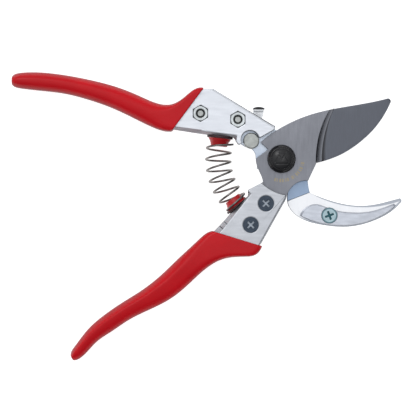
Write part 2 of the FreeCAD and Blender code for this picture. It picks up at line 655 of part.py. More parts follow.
def leaning_seat(at, turn, line):
    """A spring seat on a foot, trimmed along the handle's edge."""
    foot = rod((0, 0), SEAT_BASE_R, -SEAT_BASE_DEPTH, SEAT_FLANGE_H)
    bore = rod((0, 0), SEAT_PIN_R + BORE_FIT, -SEAT_BASE_DEPTH - 1.0, SEAT_HEIGHT / 2)
    body = spring_seat(at, turn).fuse(seat_frame(foot.cut(bore), at, turn)).removeSplitter()
    reach = 3 * SEAT_FLANGE_R
    along = edge_seat(line, 0.0)[1] - 90
    ends = [(p[0] + polar(way * reach, along)[0], p[1] + polar(way * reach, along)[1])
            for p, way in zip(line, (-1, 1))]
    deep = [(p[0] + polar(reach, along - 90)[0], p[1] + polar(reach, along - 90)[1]) for p in ends]
    side = polygon([ends[0], deep[0], deep[1], ends[1]], Z_MID - reach, Z_MID + reach)
    return body.cut(side)


def seat_pin(at, turn):
    return seat_frame(rod((0, 0), SEAT_PIN_R, -SEAT_PIN_DEPTH, SEAT_HEIGHT / 2 - BORE_FIT), at, turn)


def seat_room(at, turn):
    """Space for a seat's rim above the edge it stands on."""
    return seat_frame(rod((0, 0), SEAT_FLANGE_R + FLAT_GAP, 0.0, SEAT_HEIGHT), at, turn)


def seat_pin_room(at, turn):
    return seat_frame(rod((0, 0), SEAT_PIN_R + BORE_FIT, -SEAT_PIN_DEPTH - BORE_FIT, 1.0), at, turn)


def spring_point(share):
    phase = 2 * math.pi * SPRING_TURNS * share
    lean = TILT_START + (TILT_END - TILT_START) * share
    angle = SPRING_START + (SPRING_END - SPRING_START) * share - lean * math.cos(phase)
    x, y = polar(SPRING_ARC_R - COIL_R * math.cos(phase), angle)
    return FreeCAD.Vector(x, y, Z_MID + COIL_R * math.sin(phase))


def return_spring():
    steps = int(16 * SPRING_TURNS)
    path = Part.BSplineCurve()
    path.interpolate([spring_point(k / steps) for k in range(steps + 1)])
    start = path.value(path.FirstParameter)
    heading = path.tangent(path.FirstParameter)[0]
    circle = Part.Wire([Part.makeCircle(WIRE_R, start, heading)])
    return Part.Wire([path.toShape()]).makePipeShell([circle], True, True)


# ---- pivot ------------------------------------------------------------------------------------
NUT_Z = BLADE_FRONT + FLAT_GAP + SPRING_WASHER_THICK


def pivot_bolt():
    head = rod((0, 0), BOLT_HEAD_R, 0.0, COUNTER_BACK - BACK_WASHER_THICK)
    head = head.makeChamfer(0.5, flat_edges(head, 0.0))
    shank = rod((0, 0), BOLT_R, COUNTER_BACK - BACK_WASHER_THICK, NUT_Z + PIVOT_NUT_THICK)
    return head.fuse(shank).removeSplitter()


def washer(p, outer, bore, z_low, thick):
    return rod(p, outer, z_low, z_low + thick).cut(rod(p, bore, z_low, z_low + thick))


def pivot_cap():
    rim = BLADE_FRONT + FLAT_GAP
    shoulder = rim + CAP_RIM
    top = shoulder + CAP_DOME
    bend = (0.76 * CAP_R, shoulder + 0.72 * CAP_DOME)

    def profile(r, z):
        return FreeCAD.Vector(r, 0, z)

    dome = Part.Arc(profile(CAP_R, shoulder), profile(*bend), profile(CAP_FLAT_R, top)).toShape()
    corners = [(CAP_FLAT_R, top), (0, top), (0, rim), (CAP_R, rim), (CAP_R, shoulder)]
    sides = [profile(r, z) for r, z in corners]
    lines = [Part.LineSegment(a, b).toShape() for a, b in zip(sides, sides[1:])]
    face = Part.Face(Part.Wire([dome] + lines))
    solid = face.revolve(FreeCAD.Vector(0, 0, 0), FreeCAD.Vector(0, 0, 1), 360)
    room = rod((0, 0), CAP_R - CAP_WALL, rim, NUT_Z)
    room = room.fuse(hexagon((0, 0), PIVOT_NUT_FLATS + 0.2, NUT_Z, NUT_Z + PIVOT_NUT_THICK + 0.1))
    return solid.cut(room)


# ---- lock ---------------------------------------------------------------------------------------
LOCK_FRONT = COUNTER_BACK - FLAT_GAP
LOCK_BACK = LOCK_FRONT - LOCK_THICK
LOCK_ARM = [(-13.4, 11.0), (-11.0, 16.0), (-8.9, 22.6), (-8.7, 24.9), (-13.9, 24.9), (-14.6, 20.0),
            (-16.6, 11.0)]
LOCK_SHELF = [(-8.7, 24.9), (-9.0, 24.1), (-13.8, 24.1), (-13.9, 24.9)]
LOCK_FOOT = [(-15.8, 5.9), (-13.0, 3.6), (-10.7, 1.0), (-10.2, -1.0), (-10.2, -2.95), (-12.2, -3.15),
             (-12.3, -4.9), (-9.3, -5.3), (-8.6, -3.5), (-8.3, -0.5), (-8.8, 3.0), (-11.5, 8.0),
             (-15.1, 9.05)]


def lock_lever():
    hub = rod(RIVET_AT, LOCK_HUB_R, LOCK_BACK, LOCK_FRONT)
    arm = polygon(LOCK_ARM, LOCK_BACK, LOCK_FRONT)
    foot = polygon(LOCK_FOOT, LOCK_BACK, LOCK_FRONT)
    body = hub.fuse([arm, foot]).removeSplitter()
    shelf = polygon(LOCK_SHELF, LOCK_BACK, PAD_TOP_Z - 1.0)
    return body.fuse(shelf).removeSplitter().cut(rod(RIVET_AT, RIVET_R + BORE_FIT, LOCK_BACK, LOCK_FRONT))


def lock_thumb_pad():
    body = plate([
        [(-14.2, 24.9), (-14.2, 25.4)],
        [(-14.2, 25.4), (-11.4, 26.2), (-8.4, 25.4)],
        [(-8.4, 25.4), (-8.4, 24.9)],
        [(-8.4, 24.9), (-14.2, 24.9)],
    ], LOCK_BACK, PAD_TOP_Z)
    return body


def lock_rivet():
    washer_back = LOCK_BACK - FLAT_GAP - LOCK_WASHER_THICK
    disc = rod(RIVET_AT, RIVET_DISC_R, Z_MATE, RIVET_DISC_TOP)
    disc = disc.makeFillet(0.7, flat_edges(disc, RIVET_DISC_TOP))
    shank = rod(RIVET_AT, RIVET_R, washer_back, Z_MATE)
    head = rod(RIVET_AT, LOCK_WASHER_R, washer_back - RIVET_HEAD_THICK, washer_back)
    return disc.fuse([shank, head]).removeSplitter()


# ---- every piece ----------------------------------------------------------------------------------
def build():
    upper = fitted(UPPER_STATIONS, UPPER_GRIP_LENGTH)
    lower = fitted(LOWER_STATIONS, LOWER_GRIP_LENGTH)
    pieces = {}
    pieces["upper_handle"] = upper_handle(upper)
    pieces["upper_grip"] = sleeve_body(upper).cut(pieces["upper_handle"])
    pieces["lower_handle"] = lower_handle(lower)
    pieces["lower_grip"] = sleeve_body(lower).cut(pieces["lower_handle"])
    pieces["counter_blade"] = counter_blade()
    pieces["hook_body"] = hook_body()
    pieces["hook_screw"] = hook_screw()
    pieces["cutting_blade"] = cutting_blade()
    upper_end = HANDLE_FRONT - 0.5
    lower_end = HANDLE_BACK + 0.5
    pieces["upper_handle_screws"] = Part.makeCompound(
        [screw(p, HANDLE_BACK, upper_end) for p in UPPER_SCREWS])
    pieces["lower_handle_screws"] = Part.makeCompound(
        [screw(p, HANDLE_FRONT, lower_end) for p in LOWER_SCREWS])
    bore = SCREW_R + BORE_FIT
    pieces["upper_handle_nuts"] = Part.makeCompound(
        [nut(p, NUT_FLATS, bore, NUT_FRONT - NUT_THICK, NUT_FRONT, 30.0) for p in UPPER_SCREWS])
    pieces["lower_handle_nuts"] = Part.makeCompound(
        [nut(p, NUT_FLATS, bore, NUT_BACK, NUT_BACK + NUT_THICK, 30.0) for p in LOWER_SCREWS])
    pieces["upper_spring_seat"] = spring_seat(UPPER_SEAT_AT, UPPER_SEAT_TURN)
    pieces["lower_spring_seat"] = leaning_seat(LOWER_SEAT_AT, LOWER_SEAT_TURN, LOWER_SEAT_EDGE)
    pieces["upper_seat_pin"] = seat_pin(UPPER_SEAT_AT, UPPER_SEAT_TURN)
    pieces["lower_seat_pin"] = seat_pin(LOWER_SEAT_AT, LOWER_SEAT_TURN)
    pieces["return_spring"] = return_spring()
    pieces["pivot_bolt"] = pivot_bolt()
    pieces["pivot_back_washer"] = washer((0, 0), BACK_WASHER_R, BOLT_R + BORE_FIT,
                                         COUNTER_BACK - BACK_WASHER_THICK, BACK_WASHER_THICK)
    pieces["pivot_bush"] = washer((0, 0), BUSH_R, BOLT_R + BORE_FIT, Z_MATE, BLADE_FRONT + FLAT_GAP - Z_MATE)
    pieces["pivot_spring_washer"] = washer((0, 0), CAP_R - CAP_WALL - 0.3, BOLT_R + BORE_FIT,
                                           BLADE_FRONT + FLAT_GAP, SPRING_WASHER_THICK)
    pieces["pivot_nut"] = nut((0, 0), PIVOT_NUT_FLATS, BOLT_R + BORE_FIT, NUT_Z, NUT_Z + PIVOT_NUT_THICK)
    pieces["pivot_cap"] = pivot_cap()
    pieces["lock_lever"] = lock_lever()
    pieces["lock_thumb_pad"] = lock_thumb_pad()
    pieces["lock_rivet"] = lock_rivet()
    pieces["lock_washer"] = washer(RIVET_AT, LOCK_WASHER_R, RIVET_R + BORE_FIT,
                                   LOCK_BACK - FLAT_GAP - LOCK_WASHER_THICK, LOCK_WASHER_THICK)
    return pieces


os.makedirs("parts", exist_ok=True)
for name, shape in build().items():
    shape.exportStep("parts/" + name + ".step")
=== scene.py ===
import json
import math

import bmesh
import bpy
import numpy as np
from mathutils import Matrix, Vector

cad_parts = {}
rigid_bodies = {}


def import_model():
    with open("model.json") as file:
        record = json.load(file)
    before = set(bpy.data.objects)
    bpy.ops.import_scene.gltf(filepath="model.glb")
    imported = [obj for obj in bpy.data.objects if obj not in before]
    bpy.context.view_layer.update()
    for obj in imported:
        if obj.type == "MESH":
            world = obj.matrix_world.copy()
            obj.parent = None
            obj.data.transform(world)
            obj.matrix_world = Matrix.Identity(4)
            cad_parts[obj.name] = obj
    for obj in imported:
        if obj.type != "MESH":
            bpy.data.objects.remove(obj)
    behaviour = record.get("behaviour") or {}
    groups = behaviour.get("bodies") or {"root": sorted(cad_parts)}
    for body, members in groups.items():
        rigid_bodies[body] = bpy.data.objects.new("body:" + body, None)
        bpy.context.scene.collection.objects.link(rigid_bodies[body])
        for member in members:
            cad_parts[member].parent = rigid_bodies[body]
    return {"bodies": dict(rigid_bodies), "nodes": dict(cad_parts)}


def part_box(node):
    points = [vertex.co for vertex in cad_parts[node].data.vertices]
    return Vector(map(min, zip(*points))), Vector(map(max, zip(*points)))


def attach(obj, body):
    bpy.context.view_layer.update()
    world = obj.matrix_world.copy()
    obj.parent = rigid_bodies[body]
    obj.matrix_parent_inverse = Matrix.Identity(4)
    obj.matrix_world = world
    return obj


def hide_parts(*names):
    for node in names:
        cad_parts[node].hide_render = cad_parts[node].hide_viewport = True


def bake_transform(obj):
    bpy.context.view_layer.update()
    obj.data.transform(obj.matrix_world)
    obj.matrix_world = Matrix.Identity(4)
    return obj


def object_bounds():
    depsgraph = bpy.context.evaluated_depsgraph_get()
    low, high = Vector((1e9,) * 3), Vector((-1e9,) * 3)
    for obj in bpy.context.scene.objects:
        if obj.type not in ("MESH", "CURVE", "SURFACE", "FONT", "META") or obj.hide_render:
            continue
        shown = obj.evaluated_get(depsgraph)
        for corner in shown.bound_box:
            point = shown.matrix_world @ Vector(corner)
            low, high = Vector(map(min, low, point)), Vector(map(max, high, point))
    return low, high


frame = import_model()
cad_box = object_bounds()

MM = 0.001
UPPER, LOWER, LOCK = "upper_half", "lower_half", "lock"
nodes = frame["nodes"]


# ---- materials ---------------------------------------------------------------------------------
class Look:
    """A node material: one Principled shader, and short calls for what feeds it."""

    def __init__(self, name, colour, metallic, roughness, **sockets):
        self.material = bpy.data.materials.new(name)
        self.material.use_nodes = True
        self.tree = self.material.node_tree
        self.shader = self.tree.nodes["Principled BSDF"]
        self.shader.inputs["Base Color"].default_value = (*colour, 1.0)
        self.shader.inputs["Metallic"].default_value = metallic
        self.shader.inputs["Roughness"].default_value = roughness
        for key, value in sockets.items():
            self.shader.inputs[key.replace("_", " ")].default_value = value
        self.place = self.add("ShaderNodeTexCoord").outputs["Object"]

    def add(self, kind, **values):
        node = self.tree.nodes.new(kind)
        for key, value in values.items():
            setattr(node, key, value)
        return node

    def join(self, source, node, socket):
        self.tree.links.new(source, node.inputs[socket])

    def noise(self, scale, detail=3.0, stretch=None, turn=0.0, rough=0.55):
        """Noise in the part's own space, scale in cycles per metre, stretched if asked."""
        place = self.place
        if stretch:
            mapping = self.add("ShaderNodeMapping")
            mapping.inputs["Scale"].default_value = stretch
            mapping.inputs["Rotation"].default_value = (0.0, 0.0, turn)
            self.join(place, mapping, "Vector")
            place = mapping.outputs["Vector"]
        noise = self.add("ShaderNodeTexNoise")
        noise.inputs["Scale"].default_value = scale
        noise.inputs["Detail"].default_value = detail
        noise.inputs["Roughness"].default_value = rough
        self.join(place, noise, "Vector")
        return noise.outputs["Fac"]

    def ramp(self, source, low, high, start=0.3, end=0.7):
        """source as a value that runs from low to high between start and end."""
        span = self.add("ShaderNodeMapRange")
        for key, value in (("From Min", start), ("From Max", end), ("To Min", low), ("To Max", high)):
            span.inputs[key].default_value = value
        self.join(source, span, "Value")
        return span.outputs["Result"]

    def mix(self, share, first, second):
        """Two colours mixed; each may be a colour or a socket."""
        node = self.add("ShaderNodeMix", data_type="RGBA")
        if isinstance(share, float):
            node.inputs["Factor"].default_value = share
        else:
            self.join(share, node, "Factor")
        for socket, value in (("A", first), ("B", second)):
            target = [s for s in node.inputs if s.name == socket and s.type == "RGBA"][0]
            if isinstance(value, tuple):
                target.default_value = (*value, 1.0)
            else:
                self.tree.links.new(value, target)
        return [s for s in node.outputs if s.type == "RGBA"][0]

    def times(self, first, second):
        return self.math("MULTIPLY", first, second)

    def along(self, way, start, end):
        """0 to 1 between two distances along a direction of the part's own space."""
        node = self.add("ShaderNodeVectorMath", operation="DOT_PRODUCT")
        self.join(self.place, node, 0)
        node.inputs[1].default_value = way
        return self.ramp(node.outputs["Value"], 0.0, 1.0, start, end)

    def distance(self, centre, source=None):
        """How far a point is from a centre."""
        node = self.add("ShaderNodeVectorMath", operation="DISTANCE")
        self.join(source or self.place, node, 0)
        node.inputs[1].default_value = centre
        return node.outputs["Value"]

    def sides(self, start, end):
        """1 on faces that don't look up or down, 0 on flat ones."""
        normal = self.tree.nodes["Texture Coordinate"].outputs["Normal"]
        node = self.add("ShaderNodeSeparateXYZ")
        self.join(normal, node, "Vector")
        flat = self.add("ShaderNodeMath", operation="ABSOLUTE")
        self.tree.links.new(node.outputs["Z"], flat.inputs[0])
        return self.ramp(flat.outputs[0], 1.0, 0.0, start, end)

    def math(self, operation, first, second=0.0):
        node = self.add("ShaderNodeMath", operation=operation)
        for index, value in enumerate((first, second)):
            if isinstance(value, float):
                node.inputs[index].default_value = value
            else:
                self.tree.links.new(value, node.inputs[index])
        return node.outputs[0]

    def paint(self, source):
        self.join(source, self.shader, "Base Color")

    def gloss(self, source):
        self.join(source, self.shader, "Roughness")

    def bump(self, source, height, strength=1.0):
        """Bump of the given height in metres; a second call adds to the first."""
        node = self.add("ShaderNodeBump")
        node.inputs["Strength"].default_value = strength
        node.inputs["Distance"].default_value = height
        self.join(source, node, "Height")
        before = self.shader.inputs["Normal"].links
        if before:
            self.tree.links.new(before[0].from_socket, node.inputs["Normal"])
        self.join(node.outputs["Normal"], self.shader, "Normal")


def tint(colour, factor):
    return tuple(min(1.0, c * factor) for c in colour)


def satin_aluminium():
    """Bead-blasted forged aluminium with faint strokes; painted light on its +y side, painted shade on -y,
    sides and edges.
    """
    base = (0.70, 0.725, 0.77)
    look = Look("satin_aluminium", base, 0.80, 0.38)
    cloud = look.noise(38.0, 4.0)
    strokes = look.noise(900.0, 2.0, stretch=(0.12, 1.0, 1.0), turn=math.radians(30))
    shade = look.mix(look.ramp(cloud, 0.0, 1.0), tint(base, 0.84), tint(base, 1.08))
    shade = look.mix(look.ramp(strokes, 0.0, 0.25), shade, tint(base, 0.84))
    # Painted light and shade: the -y side takes a darker copy of the colour, the +y side a brighter one.
    lower = look.mix(0.5, shade, tint(base, 0.72))
    shade = look.mix(look.along((0.0, 1.0, 0.0), -0.014, 0.010), lower, tint(base, 1.10))
    # Painted shade: sides and edges are darkened.
    look.paint(look.mix(look.sides(0.25, 0.64), shade, (0.07, 0.075, 0.085)))
    look.gloss(look.ramp(strokes, 0.32, 0.46))
    look.bump(look.noise(5200.0, 2.0), 0.000012, 0.6)
    look.bump(strokes, 0.00001, 0.5)
    return look.material


def hook_aluminium():
    """The hooked jaw's body: blue-grey face, with painted shade darkening its slopes."""
    base = (0.55, 0.58, 0.64)
    look = Look("hook_aluminium", base, 0.85, 0.34)
    cloud = look.noise(80.0, 4.0)
    shade = look.mix(look.ramp(cloud, 0.0, 1.0), tint(base, 0.93), tint(base, 1.07))
    # Painted shade: the sloping faces are darkened.
    look.paint(look.mix(look.sides(0.20, 0.70), shade, (0.47, 0.49, 0.54)))
    strokes = look.noise(1400.0, 2.0, stretch=(0.15, 1.0, 1.0), turn=math.radians(-12))
    look.gloss(look.ramp(strokes, 0.28, 0.42))
    look.bump(look.noise(4200.0, 2.0), 0.00001, 0.6)
    return look.material


ROOT_LINE = (0.3593, -0.9332, 0.0)      # across the step between the root and the ground jaw
ROOT_AT = 0.02076
JAW_TOP = 0.0074
HOOK_CENTRE = (0.0313, 0.00525, JAW_TOP)        # middle of the jaw's outer curve
HOOK_RIM = (0.0382, 0.0386)                     # painted shade along the outer contour fades in between these radii
MOUTH_CENTRE = (0.04134, 0.02996, JAW_TOP)      # middle of its inner curve
MOUTH_LIP = (0.0540, 0.0543)                    # painted shade along the inner contour fades out between these radii


def pale_steel():
    """The counter blade: a bright ground jaw, a blue root beside the blade and a pale neck, with painted
    shade along its contours and sides.
    """
    jaw, root, neck = (0.88, 0.89, 0.91), (0.27, 0.36, 0.50), (0.62, 0.69, 0.79)
    look = Look("pale_steel", root, 0.72, 0.30)
    grind = look.noise(1500.0, 2.0, stretch=(1.0, 0.10, 1.0), turn=math.radians(20))
    cloud = look.noise(60.0, 3.0)
    shade = look.mix(look.along((0.0, 1.0, 0.0), -0.006, 0.006), root, neck)
    shade = look.mix(look.along(ROOT_LINE, ROOT_AT - 0.0001, ROOT_AT + 0.0001), shade, jaw)
    shade = look.mix(look.ramp(cloud, 0.0, 0.10), shade, (0.35, 0.40, 0.46))
    shade = look.mix(look.ramp(grind, 0.0, 0.02), shade, (0.30, 0.33, 0.38))
    # Painted shade: dark lines along the jaw's outer contour and its inner curve.
    rim = look.times(look.ramp(look.distance(HOOK_CENTRE), 0.0, 1.0, *HOOK_RIM),
                     look.along((1.0, 0.0, 0.0), 0.008, 0.014))
    shade = look.mix(rim, shade, (0.42, 0.45, 0.50))
    lip = look.times(look.ramp(look.distance(MOUTH_CENTRE), 1.0, 0.0, *MOUTH_LIP),
                     look.along((1.0, 0.0, 0.0), 0.015, 0.019))
    shade = look.mix(lip, shade, (0.40, 0.43, 0.48))
    # Painted shade on the sides.
    look.paint(look.mix(look.sides(0.15, 0.60), shade, (0.10, 0.11, 0.13)))
    look.gloss(look.ramp(grind, 0.29, 0.33))
    look.bump(grind, 0.000003, 0.4)
    return look.material


WHEEL_CENTRE, WHEEL_R = (0.07832, -0.00039, 0.0), 0.0581        # line left by the grinding wheel
PRINT_INNER, PRINT_OUTER = (0.00985, 0.01000), (0.01155, 0.01170)       # soft edges of the printed arc
PRINT_START, PRINT_END = (-2.02, -1.98), (-0.14, -0.10)                 # the same round the pivot, radians
PRINT_COLOUR = (0.36, 0.30, 0.18)


def blade_steel():
    """Grey coated plate with a printed arc of dashes; its ground face is darker and shows strokes; painted
    shade on the plate's sides and in a band along the wheel's line.
    """
    flat, ground = (0.250, 0.258, 0.288), (0.150, 0.163, 0.196)
    look = Look("blade_steel", flat, 0.86, 0.40)
    normal = look.add("ShaderNodeSeparateXYZ")
    look.join(look.tree.nodes["Texture Coordinate"].outputs["Normal"], normal, "Vector")
    front = look.ramp(normal.outputs["Z"], 0.0, 1.0, 0.5, 0.6)
    cloud = look.noise(50.0, 4.0)
    grain = look.noise(2600.0, 3.0)
    strokes = look.noise(1700.0, 2.0, stretch=(1.0, 0.07, 1.0), turn=math.radians(-20))
    plate = look.mix(look.ramp(cloud, 0.0, 1.0), tint(flat, 0.90), tint(flat, 1.12))
    plate = look.mix(look.ramp(grain, 0.0, 0.25), plate, tint(flat, 0.74))
    place = look.add("ShaderNodeSeparateXYZ")
    look.join(look.place, place, "Vector")
    x, y = place.outputs["X"], place.outputs["Y"]
    reach = look.math("SQRT", look.math("ADD", look.times(x, x), look.times(y, y)))
    band = look.times(look.ramp(reach, 0.0, 1.0, *PRINT_INNER), look.ramp(reach, 1.0, 0.0, *PRINT_OUTER))
    turn = look.math("ARCTAN2", y, x)
    arc = look.times(look.ramp(turn, 0.0, 1.0, *PRINT_START), look.ramp(turn, 1.0, 0.0, *PRINT_END))
    dash = look.math("FRACT", look.times(turn, 8.4))
    wave = look.math("SINE", look.times(turn, 23.0))
    dash = look.times(look.ramp(dash, 1.0, 0.0, 0.62, 0.70), look.ramp(wave, 0.0, 1.0, -0.75, -0.45))
    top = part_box("cutting_blade")[1].z
    upper = look.ramp(place.outputs["Z"], 0.0, 1.0, top - 0.0002, top)
    print_mask = look.times(look.times(band, arc), look.times(dash, upper))
    plate = look.mix(look.times(print_mask, 0.75), plate, PRINT_COLOUR)
    face = look.mix(look.ramp(strokes, 0.0, 1.0), tint(ground, 0.95), tint(ground, 1.05))
    flat_place = look.add("ShaderNodeCombineXYZ")
    look.join(x, flat_place, "X")
    look.join(y, flat_place, "Y")
    inside = look.math("SUBTRACT", WHEEL_R, look.distance(WHEEL_CENTRE, flat_place.outputs["Vector"]))
    # Painted shade: a dark band along the grinding wheel's line, for the hollow grind's dark reflection.
    width = look.ramp(y, 0.0026, 0.0003, -0.003, 0.022)
    hollow = look.ramp(look.math("DIVIDE", inside, width), 1.0, 0.0, 0.35, 1.0)
    face = look.mix(hollow, face, (0.030, 0.031, 0.037))
    lean = look.times(look.ramp(inside, 0.0, 1.0, -0.00005, 0.00005), front)
    # Painted shade on the plate's sides.
    plate = look.mix(look.sides(0.55, 0.90), plate, (0.030, 0.032, 0.040))
    look.paint(look.mix(lean, plate, face))
    look.join(look.ramp(lean, 0.86, 0.0, 0.0, 1.0), look.shader, "Metallic")
    look.gloss(look.math("ADD", look.ramp(strokes, 0.34, 0.46), look.times(lean, 0.16)))
    look.bump(grain, 0.000012, 0.7)
    look.bump(look.times(strokes, lean), 0.00001, 0.6)
    return look.material


def fastener(name, base, roughness, node=None, hollow=(0.02, 0.03, 0.04), ring=None):
    """Fastener metal, spotty in tone: end faces keep it, recess walls and bevels get painted shade (a
    painted highlight on the dark screws).
    """
    look = Look(name, base, 0.88, roughness)
    spots = look.noise(420.0, 4.0)
    shade = look.mix(look.ramp(spots, 0.0, 1.0), tint(base, 0.82), tint(base, 1.12))
    if node:
        low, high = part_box(node)
        front = look.along((0.0, 0.0, 1.0), high.z - 0.00034, high.z - 0.00006)
        back = look.along((0.0, 0.0, -1.0), -low.z - 0.00034, -low.z - 0.00006)
        if ring:
            centre = ((low.x + high.x) / 2, (low.y + high.y) / 2, high.z)
            shade = look.mix(look.ramp(look.distance(centre), 0.0, 1.0, 0.0031, 0.0034), shade, ring)
        # Painted shade away from the end faces: recess walls and bevels take the hollow colour, a painted
        # highlight where it is lighter.
        shade = look.mix(look.math("MAXIMUM", front, back), hollow, shade)
    look.paint(shade)
    look.gloss(look.ramp(look.noise(1800.0, 2.0), roughness - 0.06, roughness + 0.10))
    look.bump(look.noise(3000.0, 2.0), 0.00001, 0.6)
    return look.material


def red_vinyl():
    """Dipped vinyl: soft gloss, a fine pebble, a slightly uneven red, and painted shade that deepens it on
    the sides.
    """
    base = (0.66, 0.0028, 0.010)
    look = Look("red_vinyl", base, 0.0, 0.36, Specular_IOR_Level=0.24)
    cloud = look.noise(45.0, 4.0)
    pebble = look.noise(2300.0, 2.0)
    shade = look.mix(look.ramp(cloud, 0.0, 1.0), tint(base, 0.92), tint(base, 1.08))
    shade = look.mix(look.ramp(pebble, 0.0, 0.22), shade, tint(base, 0.70))
    # Painted shade: the sides are darkened.
    look.paint(look.mix(look.sides(0.08, 0.70), shade, (0.16, 0.001, 0.004)))
    look.gloss(look.ramp(pebble, 0.30, 0.42))
    look.bump(pebble, 0.000018, 0.5)
    look.bump(look.noise(170.0, 3.0), 0.00006, 0.35)
    return look.material


def plastic(name, base, roughness, grain=1900.0):
    look = Look(name, base, 0.0, roughness)
    cloud = look.noise(130.0, 3.0)
    look.paint(look.mix(look.ramp(cloud, 0.0, 1.0), tint(base, 0.80), tint(base, 1.22)))
    look.gloss(look.ramp(look.noise(700.0, 3.0), roughness - 0.07, roughness + 0.10))
    look.bump(look.noise(grain, 2.0), 0.00002, 0.6)
    return look.material


def spring_wire():
    """Oiled dark spring wire with draw marks."""
    base = (0.19, 0.178, 0.17)
    look = Look("spring_wire", base, 1.0, 0.24)
    spots = look.noise(650.0, 4.0)
    look.paint(look.mix(look.ramp(spots, 0.0, 1.0), tint(base, 0.75), tint(base, 1.6)))
    look.gloss(look.ramp(look.noise(2400.0, 2.0), 0.26, 0.44))
    look.bump(look.noise(3600.0, 2.0), 0.000012, 0.6)
    return look.material


NUT_COLOUR = (0.62, 0.66, 0.67)
LOOKS = {
    "aluminium": satin_aluminium(),
    "hook": hook_aluminium(),
    "pale_steel": pale_steel(),
    "blade": blade_steel(),
    "red": red_vinyl(),
    "seat": plastic("seat_red", (0.52, 0.003, 0.008), 0.40),
    "seat_rim": plastic("seat_dark_rim", (0.035, 0.008, 0.010), 0.42),
    "cap": plastic("cap_black", (0.007, 0.007, 0.009), 0.25),
    "pad": plastic("pad_black", (0.030, 0.031, 0.034), 0.50),
    "wire": spring_wire(),
    # The fourth colour is painted shade on recess walls and bevels; on the dark screws it is lighter, a
    # painted highlight.
    "zinc": fastener("zinc_teal", (0.36, 0.48, 0.52), 0.30, "hook_screw",
                     (0.03, 0.10, 0.12), (0.11, 0.19, 0.22)),
    "dark": fastener("screw_dark", (0.052, 0.068, 0.092), 0.34, "lower_handle_screws", (0.34, 0.38, 0.43)),
    "nut": fastener("nut_steel", NUT_COLOUR, 0.32, "upper_handle_nuts", (0.19, 0.20, 0.20)),
    "back_nut": fastener("back_nut_steel", NUT_COLOUR, 0.32, "lower_handle_nuts", (0.19, 0.20, 0.20)),
    "bolt_end": fastener("bolt_end", (0.44, 0.46, 0.45), 0.36, "upper_handle_screws", (0.17, 0.18, 0.18)),
    "rivet": fastener("rivet_steel", (0.47, 0.49, 0.47), 0.42),
    "washer": fastener("washer_steel", (0.55, 0.58, 0.60), 0.32),
    "bolt": fastener("pivot_bolt_steel", (0.16, 0.17, 0.19), 0.34),
    "lever": fastener("lever_steel", (0.78, 0.80, 0.82), 0.34),
    "brass": fastener("bush_brass", (0.62, 0.44, 0.18), 0.35),
}


# ---- carried-over CAD pieces ---------------------------------------------------------------------
WELD = 0.002 * MM
FLAT_ANGLE = math.radians(0.5)
EDGE_ANGLE = math.radians(22)


def clean(piece, dissolve):
    """Joins the mesh's loose triangles and, if asked, dissolves the lines across its flat faces."""
    weld = piece.modifiers.new("weld", "WELD")
    weld.merge_threshold = WELD
    if dissolve:
        flat = piece.modifiers.new("flatten", "DECIMATE")
        flat.decimate_type = "DISSOLVE"
        flat.angle_limit = FLAT_ANGLE


def round_edges(piece, width, limit, clamp):
    """Rounds the edges that limit picks: the sharp ones, or those with a weight."""
    rounded = piece.modifiers.new("edges", "BEVEL")
    rounded.width = width
    rounded.segments = 3
    rounded.limit_method = limit
    rounded.angle_limit = EDGE_ANGLE
    rounded.use_clamp_overlap = clamp
    rounded.harden_normals = True


def dress(node, look, bevel=0.0, dissolve=True, clamp=False):
    """Gives a CAD node its material, and small rounded edges through modifiers."""
    piece = nodes[node]
    piece.data.materials.clear()
    piece.data.materials.append(LOOKS[look])
    clean(piece, bevel > 0 and dissolve)
    if bevel:
        round_edges(piece, bevel * MM, "ANGLE", clamp)


dress("hook_body", "hook", 0.22, clamp=True)
dress("counter_blade", "pale_steel", 0.30)
dress("cutting_blade", "blade", 0.18, False)
dress("upper_handle_nuts", "nut", 0.12)
dress("lower_handle_nuts", "back_nut", 0.12)
dress("upper_handle_screws", "bolt_end", 0.06)
dress("lower_handle_screws", "dark", 0.10)
dress("hook_screw", "zinc", 0.12)
dress("lock_lever", "lever", 0.15, clamp=True)
dress("lock_rivet", "rivet", 0.0)
dress("lock_washer", "washer", 0.08)
dress("pivot_bolt", "bolt", 0.0)
dress("pivot_back_washer", "washer", 0.08)
dress("pivot_bush", "brass")
dress("pivot_spring_washer", "wire")
dress("pivot_nut", "washer")
dress("upper_seat_pin", "washer")
dress("lower_seat_pin", "washer")


# ---- mesh helpers ---------------------------------------------------------------------------------
def make_piece(name, points, faces, look, smooth=True):
    mesh = bpy.data.meshes.new(name)
    mesh.from_pydata([tuple(p) for p in points], [], faces)
    mesh.validate()
    mesh.update()
    piece = bpy.data.objects.new(name, mesh)
    bpy.context.scene.collection.objects.link(piece)
    mesh.materials.append(LOOKS[look])
    for face in mesh.polygons:
        face.use_smooth = smooth
    return piece


def lathe(profile, steps):
    """Points and faces of a profile (radius, height) turned about +Z; both ends close on the axis."""
    points, faces = [], []
    for r, z in profile:
        for k in range(steps):
            a = 2 * math.pi * k / steps
            points.append(Vector((r * math.cos(a), r * math.sin(a), z)))
    for ring in range(len(profile) - 1):
        for k in range(steps):
            n = (k + 1) % steps
            a, b = ring * steps, (ring + 1) * steps
            faces.append((a + k, a + n, b + n, b + k))
    faces.append(tuple(range(steps))[::-1])
    last = (len(profile) - 1) * steps
    faces.append(tuple(last + k for k in range(steps)))
    return points, faces


def apply_modifiers(piece):
    """The piece's mesh with its modifiers worked in."""
    bpy.context.view_layer.update()
    graph = bpy.context.evaluated_depsgraph_get()
    mesh = bpy.data.meshes.new_from_object(piece.evaluated_get(graph), depsgraph=graph)
    old = piece.data
    piece.modifiers.clear()
    piece.data = mesh
    bpy.data.meshes.remove(old)


# ---- handles ---------------------------------------------------------------------------------------
HANDLE_EDGE = 0.4 * MM
LATCH_REACH = 26.0      # mm from the pivot; the lock enters the lower handle's back cheek inside it
LATCH_TOP = 7.0


